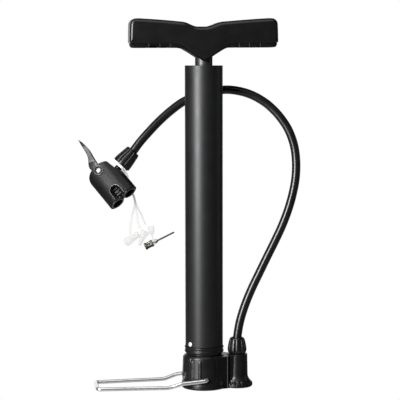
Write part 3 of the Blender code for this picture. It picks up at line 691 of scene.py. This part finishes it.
def build_base():
    """The moulded foot: a ribbed drum, a web and the outlet tower, with their holes."""
    rows = 40
    profile = [(22.2, 0), (23.2, 1.2), (23.2, 4.4), (22.2, 8.0)]
    profile += [(22.15 - 1.0 * i / rows, 8.4 + 23.2 * i / rows) for i in range(rows + 1)]
    profile += [(20.6, 32.6), (19.6, 34.0)]
    base = piece("fine_base", turned_mesh("fine_base", profile, 360, shape=base_ribs),
                 "base_plastic", node="base_body")
    # The web's edge, with the small steps where it runs into the tower.
    edge = [(14, 16.4), (22.0, 12.1), (22.3, 12.9), (23.1, 12.5), (23.3, 11.5), (24.1, 10.8),
            (24.3, 9.9), (25.0, 9.6), (25.4, 10.05), (26, 10.0), (34, 8.0)]
    web_outline = [(8, -17.5)] + [(x, -y) for x, y in edge] + edge[::-1] + [(8, 17.5)]
    web = slab_mesh("web", web_outline, 0.0, 32.8)
    tower_profile = [(15.0, 0), (15.8, 0.9), (15.8, 3.9), (13.4, 6.2), (11.8, 8.6), (10.95, 11.0),
                     (10.5, 33.5)]
    tower = turned_mesh("tower", tower_profile, FINE)
    tower_at = Matrix.Translation((TOWER_X * MM, 0, 0))
    combine(base, [(web, Matrix()), (tower, tower_at)], 'UNION', 'MANIFOLD')
    cuts = [(turned_mesh("socket", [(16.4, 16.0), (16.4, 40.0)], ROUND), Matrix()),
            (turned_mesh("riser", [(6.3, 21.0), (6.3, 40.0)], ROUND), tower_at)]
    for side in (-1, 1):
        cuts.append((turned_mesh("pivot", [(2.3, 0), (2.3, 8.0)], SMALL),
                     place((0, side * 18.6, PIVOT_Z), (0, side, 0))))
    for degrees in NOTCHES:
        notch = prism_mesh("notch", [(-2.0, 8.0), (0.0, 1.8), (2.0, 8.0)], -18.0, -12.9)
        cuts.append((notch, tower_at @ Matrix.Rotation(math.radians(degrees), 4, 'Z')))
    combine(base, cuts, 'DIFFERENCE', 'MANIFOLD')
    melt(base, 0.42, 3)


def build_collar_and_barrel():
    """The stepped collar, the enamelled tube on it and the two rivets through both."""
    collar = [(6.5, 16.3), (16.0, 16.3), (16.0, 34.3), (18.2, 34.3), (18.2, 36.2), (19.9, 36.7),
              (19.9, 38.8), (19.3, 39.2), (19.3, 40.7), (19.9, 41.1), (19.9, 42.7), (17.7, 42.7),
              (17.7, 49.0), (15.9, 49.0), (15.9, 51.3), (17.7, 51.3), (17.7, 53.3), (2.0, 53.3),
              (2.0, 45.4), (6.5, 45.4)]
    turned("fine_collar", collar, "base_plastic", node="tube_plug", loop=True, rounding=0.5)
    low, high = box_mm("barrel_tube")
    radius = high.x + 0.1
    tube = [(radius - 1.0, low.z), (radius, low.z), (radius, high.z), (radius - 1.0, high.z)]
    barrel = turned("fine_barrel", tube, "black_enamel", node="barrel_tube", loop=True,
                    rounding=0.5, segments=128)
    rivet_holes = [(turned_mesh("rivet_hole", [(1.6, -2.5), (1.6, 2.5)], SMALL),
                    place(spot, (spot[0], spot[1], 0))) for spot in (polar(18.5, a) for a in RIVETS)]
    combine(barrel, rivet_holes, 'DIFFERENCE')
    smooth_faces(barrel)
    rivet = [(1.3, 13.2), (1.3, 19.3), (2.5, 19.25), (2.5, 19.7), (2.25, 20.2), (1.65, 20.6),
             (0.8, 20.8)]
    for label, angle in zip(("front", "back"), RIVETS):
        turned("fine_rivet_" + label, rivet, "rivet_metal", node="tube_rivet_" + label,
               matrix=place((0, 0, RIVET_Z), polar(1.0, angle, 0.0)), segments=SMALL)


def build_bushing():
    """The guide ring in the tube's top end, round the rod."""
    low, high = box_mm("top_bushing")
    ring = [(9.1, low.z), (17.7, low.z), (17.7, high.z - 0.2), (15.0, high.z - 0.2),
            (14.4, high.z - 1.2), (10.4, high.z - 1.2), (9.8, high.z - 0.3), (9.1, high.z - 0.3)]
    turned("fine_bushing", ring, "base_plastic", node="top_bushing", loop=True)


def build_outlet_nut():
    """The fluted nut that holds the hose on the outlet tower."""
    nut = [(6.8, 33.55), (7.8, 33.55), (9.1, 34.9), (9.7, 36.8), (9.7, 38.6), (9.5, 40.4), (9.1, 42.8),
           (8.6, 45.2), (8.1, 47.2), (7.5, 49.0), (6.4, 50.1), (5.1, 50.1), (5.1, 41.2), (6.8, 40.4)]
    turned("fine_outlet_nut", nut, "black_plastic", node="base_hose_nut", loop=True,
           matrix=place((TOWER_X, 0, 0)), segments=128, rounding=0.6,
           shape=outer_only(flutes(8, 1.3, 34.2, 49.6), 7.2))


# ---------------------------------------------------------------- pedal

def build_pedal():
    """The wire pedal: pins into the base, two legs that narrow, and a front bar."""
    pin_y, leg_y, wire_r = 19.2, 24.7, 2.0
    half = [(0, pin_y, PIVOT_Z), (0, leg_y, PIVOT_Z), (-10, leg_y, 9.7), (-25, leg_y, 8.7),
            (-39, 22.2, 4.2), (-110, 17.5, 4.0)]
    front = [(x, -y, z) for x, y, z in half]
    path = round_path(front + list(reversed(half)), 3.6)
    piece("fine_pedal", wire_data("fine_pedal", path, wire_r, 10), "chrome", body="pedal",
          node="foot_pedal")


# ---------------------------------------------------------------- rod and handle

def build_rod():
    """The hollow rod between the barrel and the handle."""
    low, high = box_mm("piston_rod")
    rod = [(7.4, low.z), (8.8, low.z), (8.8, high.z), (7.4, high.z)]
    turned("fine_rod", rod, "rod_plastic", body="rod_handle", node="piston_rod", loop=True)


def top_height(x):
    """The handle's top line: slightly crowned wings and a dip a little off the middle."""
    x = abs(x + DIP_SHIFT * max(0.0, 1.0 - abs(x) / 45.0))
    rise = min(max((x - DIP_HALF) / (WING_X - DIP_HALF), 0.0), 1.0)
    rise = rise * rise * (3 - 2 * rise)
    wing = max(x - WING_X, 0.0)
    crown = WING_CROWN * wing * (WING_SPAN - wing)
    return DIP_Z + DIP_DEPTH * rise + wing * WING_RISE / WING_SPAN + crown


def mirrored(half):
    """A half outline followed by its mirror image, without doubling the middle point."""
    return half + [(-x, z, r) for x, z, r in reversed(half) if x > 0.01]


def padded_prism(name, outline, half_depth, steps=8):
    """Extrude an outline of (x, z, edge radius) along Y, with each point's own edge rounding."""
    count = len(outline)
    spots = [Vector((x, z)) for x, z, _ in outline]
    normals = []
    for i in range(count):
        along = spots[(i + 1) % count] - spots[i - 1]
        normals.append(Vector((-along.y, along.x)).normalized())
    area = sum(spots[i - 1].x * spots[i].y - spots[i].x * spots[i - 1].y for i in range(count))
    inward = 1.0 if area > 0 else -1.0
    rings = []
    for side in (-1, 1):
        turns = range(steps + 1) if side > 0 else range(steps, -1, -1)
        for k in turns:
            swing = math.pi / 2 * k / steps
            ring = []
            for spot, normal, (_, _, edge) in zip(spots, normals, outline):
                inner = spot + normal * inward * edge * (1 - math.cos(swing))
                depth = half_depth - edge + edge * math.sin(swing)
                ring.append((inner.x, side * depth, inner.y))
            rings.append(ring)
    return skin(name, rings, sharp=50.0)


def web_z(x, level):
    """The height at x of a line along the web's slope that passes level at WEB_X."""
    return level + (x - WEB_X) * math.tan(WEB_SLOPE)


def handle_outline():
    """The hard shell's outline: top, right end and underside, and their mirror image."""
    top = [(x, top_height(x), 5.0) for x in range(-66, 67, 2)]
    corner = [(x, z, 4.6 - 0.15 * i)
              for i, (x, z) in enumerate(arc((68.0, 367.6), 6.2, 78, 4, 8))]
    side = [(74.4, 362.0, 3.2), (74.5, 356.0, 3.0), (74.6, 350.6, 3.0), (74.3, 349.9, 2.4),
            (73.6, 349.6, 0.6)]
    shell_z = WEB_Z + 1.6 / math.cos(WEB_SLOPE)
    under = [(60.0, 349.6), (45.0, 349.6), (34.0, 349.6), (29.0, 349.3), (25.0, 348.3), (22.0, 346.9)]
    under += [(x, web_z(x, shell_z)) for x in (19.5, 14.0, WEB_X, 5.0)]
    under += [(1.6, 333.7), (0, 333.1)]
    under = [(x, z, 0.6) for x, z in under]
    return top + mirrored(corner + side + under)


def grip_outline():
    """The soft strip under the shell, with a groove for each rib."""
    grip_z = WEB_Z + 0.6 + 1.3 / math.cos(WEB_SLOPE)
    upper = [(0, 333.3), (1.6, 333.9)]
    upper += [(x, web_z(x, grip_z)) for x in (5.0, WEB_X, 14.0, 19.5)]
    upper += [(22.0, 347.1), (25.0, 348.5), (29.0, 349.5), (34.0, 349.8), (60.0, 349.8), (72.6, 349.8)]
    upper = [(x, z, 0.3) for x, z in upper]
    lower = [(73.6, 348.8, 2.5), (73.4, 347.6, 2.5), (72.5, 345.9, 1.5), (71.4, 345.1, 0.8),
             (70.2, 344.75, 0.8)]
    for x in reversed(GRIP_RIBS):
        lower += [(x + 1.1, 344.7, 0.4), (x + 0.7, 346.4, 0.4), (x - 0.7, 346.4, 0.4),
                  (x - 1.1, 344.7, 0.4)]
    middle = [(28.5, 344.7), (25.0, 344.6), (22.0, 344.1), (19.5, 343.0)]
    middle += [(x, web_z(x, WEB_Z)) for x in (14.0, WEB_X, 5.0)]
    middle += [(1.6, 331.7), (0, 331.2)]
    lower += [(x, z, 0.8) for x, z in middle]
    return mirrored(upper + lower)


def build_handle():
    """The shell, the strip under it and its ribs, all leaning a little as in the photo."""
    pivot = Vector((0, 0, LEAN_Z))
    lean = Matrix.Translation((pivot + HANDLE_SHIFT) * MM) @ Matrix.Rotation(HANDLE_LEAN, 4, 'Y')
    lean = lean @ Matrix.Translation(-pivot * MM)
    shell = piece("fine_handle", padded_prism("fine_handle", handle_outline(), SHELL_DEPTH),
                  "black_plastic", lean, body="rod_handle", node="handle_shell")
    grip = piece("fine_grip", padded_prism("fine_grip", grip_outline(), GRIP_DEPTH, 3),
                 "grip_rubber", lean, body="rod_handle", node="handle_grip")
    for item in (shell, grip):
        combine(item, [(turned_mesh("rod_way", [(ROD_WAY_R, 325.0), (ROD_WAY_R, 354.8)], ROUND),
                        Matrix())], 'DIFFERENCE')
        weld(item)
        smooth_faces(item, 40.0)
    # The ribs use the lighter plastic, so the light lines they make across the grip are partly a painted
    # highlight.
    thin = 0.45
    deep = GRIP_DEPTH + thin
    ribs = [(box_mesh("rib", (side * x - thin, -deep, 344.9), (side * x + thin, deep, 348.9)), lean)
            for side in (-1, 1) for x in GRIP_RIBS]
    first = piece("grip_ribs", ribs[0][0], "highlight_rim_plastic", lean, body="rod_handle")
    combine(first, ribs[1:], 'UNION')
    holes = [(turned_mesh("screw_way", [(3.5, 340.0), (3.5, 347.2)], SMALL),
              Matrix.Translation((side * SCREW_X * MM, 0, 0))) for side in (-1, 1)]
    combine(grip, holes, 'DIFFERENCE')
    smooth_faces(grip, 40.0)


# ---------------------------------------------------------------- valve head

def head_matrix():
    """The head's frame: X across its ports, Y towards the back and Z up from its open end."""
    across = Vector(HEAD_ACROSS).normalized()
    up = Vector(HEAD_UP)
    up = (up - across * up.dot(across)).normalized()
    back = up.cross(across)
    turn = Matrix((across, back, up)).transposed().to_4x4()
    return Matrix.Translation(Vector(HEAD_ORIGIN) * MM) @ turn


def build_head():
    """The twin valve head: an oval block with a lever slot, two ports, a neck and a grilled recess."""
    at = head_matrix()
    oval = []
    for i in range(FINE):
        angle = math.tau * i / FINE
        c, s = math.cos(angle), math.sin(angle)
        oval.append((HEAD_HALF * math.copysign(abs(c) ** HEAD_OVAL, c),
                     HEAD_HALF_DEPTH * math.copysign(abs(s) ** HEAD_OVAL, s)))
    head = piece("fine_head", slab_mesh("fine_head", oval, 0, HEAD_TOP + 2), "head_plastic", at,
                 node="chuck_body")
    side_section = soften([(-18.0, -1.0), (-18.0, 31.0), (-16.8, 35.0), (-14.2, 39.6), (-9.5, 42.2),
                           (-3.0, HEAD_TOP), (4.0, HEAD_TOP), (11.4, 40.8), (12.4, 33.6), (12.6, 30.0),
                           (15.8, 24.5), (18.0, 19.0), (18.0, -1.0)], 2.5, closed=True)
    combine(head, [(prism_mesh("keep", side_section, -12, 12), at)], 'INTERSECT')
    neck_at = at @ neck_matrix()
    neck = turned_mesh("neck", [(5.4, -8.0), (5.4, -2.4), (3.6, -0.6), (3.6, 3.0), (3.1, 3.2),
                                (3.1, 8.0)], ROUND)
    combine(head, [(neck, neck_at)], 'UNION')
    cuts = [(box_mesh("lever_slot", (-7.8, -4.3, 33.0), (15.0, 4.3, 60.0)), at)]
    lobes = [(HEAD_SPREAD - math.sqrt(LOBE_R ** 2 - y * y), y) for y in (0, 2, 4, 5.5, 6.8, 7.5)]
    lobes += [(HEAD_SPREAD, LOBE_R), (HEAD_SPREAD, 12.0)]
    lobes += [(-x, y) for x, y in reversed(lobes)]
    for side in (-1, 1):
        port_at = place((side * HEAD_SPREAD, 0, 0), None, at)
        cuts.append((turned_mesh("port", [(PORT_R, -1.0), (PORT_R, 11.0)], ROUND), port_at))
        cuts.append((slab_mesh("between_ports", [(x, side * y) for x, y in lobes], -1.0, 3.4), at))
    seat_at = place((PIN_X, 0, PIN_Z), (0, -1, 0), at)
    cuts.append((turned_mesh("pin_seat", [(4.9, 8.0), (4.9, 12.0)], ROUND), seat_at))
    scoop = soften([(6.4, -4.0), (6.4, 8.0), (5.9, 10.6), (4.4, 13.0), (2.2, 14.6)], 1.0)
    cuts.append((turned_mesh("scoop", scoop, ROUND), place((SCOOP_X, SCOOP_Y, 0), None, at)))
    # The grille's four openings, from the top down.
    for i, half in enumerate((2.4, 3.8, 3.8, 3.2)):
        height = 12.2 - 3.5 * i
        cuts.append((box_mesh("grille", (SCOOP_X - half, -8.0, height - 1.15),
                              (SCOOP_X + half, -3.4, height + 1.15)), at))
    combine(head, cuts, 'DIFFERENCE')
    melt(head, 0.31, 4)
    for side, label in ((-1, "left"), (1, "right")):
        # Each port's rim is a raised ring in the lighter plastic: partly a painted highlight round the
        # port's edge.
        rim = [(PORT_R - 0.1, -0.6), (6.9, -0.6), (7.3, 0.5), (PORT_R - 0.1, 0.5)]
        turned("port_rim_" + label, rim, "highlight_rim_plastic", loop=True, segments=ROUND, rounding=0.3,
               matrix=place((side * HEAD_SPREAD, 0, 0), None, at))
    build_lip(at)
    # The pin's collar in the lighter plastic is partly a painted highlight: the light ring round the
    # pin's seat.
    turned("pin_collar", [(4.4, 8.3), (5.0, 8.3), (5.0, 9.5), (4.4, 9.5)], "highlight_rim_plastic", seat_at,
           loop=True, segments=ROUND, rounding=0.25)


def build_lip(at):
    """The raised edge around the recess, along the line where the recess meets the head's face; its
    lighter plastic is partly a painted highlight along that rim.
    """
    half = []
    for z, reach in ((0.6, 6.4), (4.0, 6.4), (8.0, 6.4), (10.6, 5.9), (12.0, 5.2), (13.1, 4.3),
                     (13.9, 3.4), (14.3, 2.7)):
        x = 0.0
        for _ in range(12):
            face = -HEAD_HALF_DEPTH * (1 - (x / HEAD_HALF) ** (2 / HEAD_OVAL)) ** (HEAD_OVAL / 2)
            x = math.sqrt(max(reach ** 2 - (face - SCOOP_Y) ** 2, 0.0))
        half.append((x, face + 0.1, z))
    path = [(SCOOP_X + x, y, z) for x, y, z in half]
    path += [(SCOOP_X - x, y, z) for x, y, z in reversed(half)]
    piece("scoop_lip", wire_data("scoop_lip", smooth_path(path, 0.7), 0.55, 5), "highlight_rim_plastic", at)


def neck_matrix():
    """The hose neck's frame in the head's, with Z along the hose."""
    along = Vector((math.cos(NECK_TILT), 0, math.sin(NECK_TILT)))
    return place((NECK_X, 0, NECK_Z), along)


def build_head_fittings():
    """The lever's pin, the fluted hose nut, the tether ring and the washer."""
    at = head_matrix()
    neck_at = at @ neck_matrix()
    pin = [(1.7, -8.8), (1.7, 8.3), (2.4, 8.3), (2.4, 8.9), (2.1, 9.4), (1.4, 9.8), (0.6, 9.95)]
    turned("fine_lever_pin", pin, "rivet_metal", place((PIN_X, 0, PIN_Z), (0, -1, 0), at),
           node="lever_pin", segments=SMALL)
    nut = [(6.0, 6.4), (9.4, 6.4), (9.7, 7.0), (9.6, 10.0), (9.2, 13.4), (8.7, 16.8), (8.2, 20.2),
           (7.8, 23.0), (7.3, 24.7), (6.6, 25.2), (5.1, 25.2), (5.1, 11.0), (6.0, 10.0)]
    turned("fine_chuck_nut", nut, "black_plastic", neck_at, node="chuck_hose_nut", loop=True,
           segments=128, shape=outer_only(flutes(9, 0.9, 6.6, 24.9), 7.0), rounding=0.5)
    turned("fine_tether_ring", [(3.6, 3.9), (6.1, 3.9), (6.1, 5.2), (3.6, 5.2)], "milky_plastic",
           neck_at, node="tether_ring", loop=True, segments=ROUND, rounding=0.9)
    turned("fine_washer", [(3.4, 5.35), (8.7, 5.35), (8.7, 6.2), (3.4, 6.2)], "milky_plastic",
           neck_at, node="chuck_washer", loop=True, segments=ROUND, rounding=0.3)


def build_lever():
    """A tapered curved channel, open on its hose side."""
    back = dense(((-4.0, 2.0), (-6.6, 10.0), (-5.4, 15.0), (-2.3, 19.4), (-0.1, 24.3), (1.1, 31.1),
                  (1.9, 39.2), (3.0, 45.9)))
    front = dense(((3.9, 1.0), (2.5, 9.0), (2.6, 12.0), (2.9, 16.1), (3.5, 21.3), (4.7, 28.1),
                   (4.8, 34.1), (4.4, 40.4)))
    widths = dense(((4.0, 0), (4.0, 0), (4.0, 0), (4.0, 0), (3.8, 0), (3.4, 0), (2.6, 0), (1.1, 0)))
    wall = 0.9
    rings = []
    for (bx, bz), (fx, fz), (half, _) in zip(back, front, widths):
        inner = max(half - wall, 0.25)
        floor_x = bx + (fx - bx) * 0.28
        floor_z = bz + (fz - bz) * 0.28
        rings.append([(bx, -half * 0.72, bz), (bx + (fx - bx) * 0.2, -half, bz + (fz - bz) * 0.2),
                      (fx, -half, fz), (fx, -inner, fz), (floor_x, -inner, floor_z),
                      (floor_x, inner, floor_z), (fx, inner, fz), (fx, half, fz),
                      (bx + (fx - bx) * 0.2, half, bz + (fz - bz) * 0.2), (bx, half * 0.72, bz)])
    at = place((PIN_X, 0, PIN_Z), None, head_matrix())
    lever = piece("fine_lever", skin("fine_lever", rings), "lever_plastic", at, body="lever",
                  node="lever")
    hub_at = at @ Matrix.Rotation(math.pi / 2, 4, 'X')
    combine(lever, [(turned_mesh("hub", [(4.1, -4.0), (4.1, 4.0)], ROUND), hub_at)], 'UNION')
    combine(lever, [(turned_mesh("bore", [(2.0, -6.0), (2.0, 6.0)], SMALL), hub_at)], 'DIFFERENCE')
    edge = lever.modifiers.new("edges", 'BEVEL')
    edge.width = 0.22 * MM
    edge.segments = 2
    edge.limit_method = 'ANGLE'
    bake(lever)
    weld(lever)
    smooth_faces(lever, 35.0)


# ---------------------------------------------------------------- adapters

def build_adapters():
    """The cone, the stepped stem and the needle in its holder."""
    cone = [(1.2, 0), (3.4, 0), (3.4, 2.6), (3.0, 3.0), (3.2, 5.0), (3.7, 10.0), (4.2, 15.0),
            (3.4, 16.8), (1.6, 16.8)]
    turned("fine_cone_nozzle", cone, "clear_plastic", place(CONE_TOP, CONE_AIM),
           node="cone_nozzle", loop=True, segments=ROUND)
    stem = [(1.2, 0), (4.4, 0.3), (4.4, 3.4), (3.2, 3.9), (3.2, 7.0), (2.6, 7.4), (2.7, 9.0), (2.3, 9.4),
            (2.4, 11.2), (2.1, 11.6), (1.9, 15.8), (1.2, 15.8)]
    turned("fine_stem_adapter", stem, "clear_plastic", place(STEM_TOP, STEM_AIM),
           node="stem_adapter", loop=True, segments=ROUND, rounding=0.3)
    build_needle()


def knurl(angle, radius, height):
    """Fine lengthwise grooves on the wide parts."""
    return radius - 0.18 * (0.5 + 0.5 * math.cos(24 * angle)) if radius > 3.1 else radius


def build_needle():
    """The inflating needle and the soft cup and ring that hold it."""
    at = place(NEEDLE_FOOT, NEEDLE_AIM)
    base = [(1.6, 0), (3.4, 0), (3.6, 0.2), (3.6, 1.9), (3.2, 2.1), (3.2, 6.6), (3.6, 6.8), (3.6, 9.0),
            (1.6, 9.0)]
    turned("fine_needle_base", base, "knurled_steel", at, node="needle_base", loop=True, shape=knurl,
           segments=FINE, rounding=0.15)
    collar = [(1.2, 11.2), (2.3, 11.2), (2.1, 12.4), (1.6, 14.2), (1.2, 14.2)]
    turned("fine_needle_collar", collar, "steel", at, node="needle_collar", loop=True,
           segments=SMALL, rounding=0.2)
    tube = [(0.85, 5.0), (0.85, 32.4), (0.75, 33.1), (0.4, 33.4)]
    turned("fine_needle_tube", tube, "dark_steel", at, node="needle_tube", segments=24)
    holder_aim = Vector(HOLDER_LOW) - Vector(HOLDER_TOP)
    cup = [(3.3, 0), (3.5, 0.4), (3.2, 4.5), (1.6, 8.2)]
    holder = turned("fine_needle_holder", cup, "clear_plastic", place(HOLDER_TOP, holder_aim),
                    node="needle_holder", segments=ROUND)
    centre = Vector(NEEDLE_FOOT) + Vector(NEEDLE_AIM).normalized() * 10.1
    stalk = centre - Vector(HOLDER_LOW)
    start = Vector(HOLDER_LOW) - stalk.normalized() * 1.5
    link = turned_mesh("stalk", [(0.8, 0), (0.8, stalk.length - 0.7)], 24)
    ring = turned_mesh("ring", soften([(1.3, -0.7), (3.1, -0.7), (3.1, 0.7), (1.3, 0.7)], 0.4, True),
                       ROUND, loop=True)
    combine(holder, [(link, place(start, stalk)), (ring, place(centre, NEEDLE_AIM))], 'UNION')
    smooth_faces(holder)


# ---------------------------------------------------------------- carried-over pieces

CARRIED = {
    "rubber": ("plug_o_ring", "valve_seat", "rod_wiper", "piston_cup", "stop_sleeve",
               "port_seal_left", "port_seal_right"),
    "steel": ("piston_screw", "rod_pin", "valve_spring", "handle_screw_left", "handle_screw_right"),
    "brass": ("hose_barb", "valve_cage", "valve_poppet", "chuck_plunger"),
    "grey_plastic": ("piston_head", "rod_top_plug"),
}


def dress_carried():
    """Give the CAD nodes that stay visible their finishes."""
    for material, names in CARRIED.items():
        for name in names:
            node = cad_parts[name]
            node.data.materials.clear()
            node.data.materials.append(MAT[material])


bpy.context.scene.view_settings.view_transform = 'Standard'
MAT = make_materials()
add_camera()
add_world()
add_lights()
build_base()
build_collar_and_barrel()
build_bushing()
build_outlet_nut()
build_pedal()
build_rod()
build_handle()
build_head()
build_head_fittings()
build_lever()
build_adapters()
build_hose()
build_strands()
dress_carried()
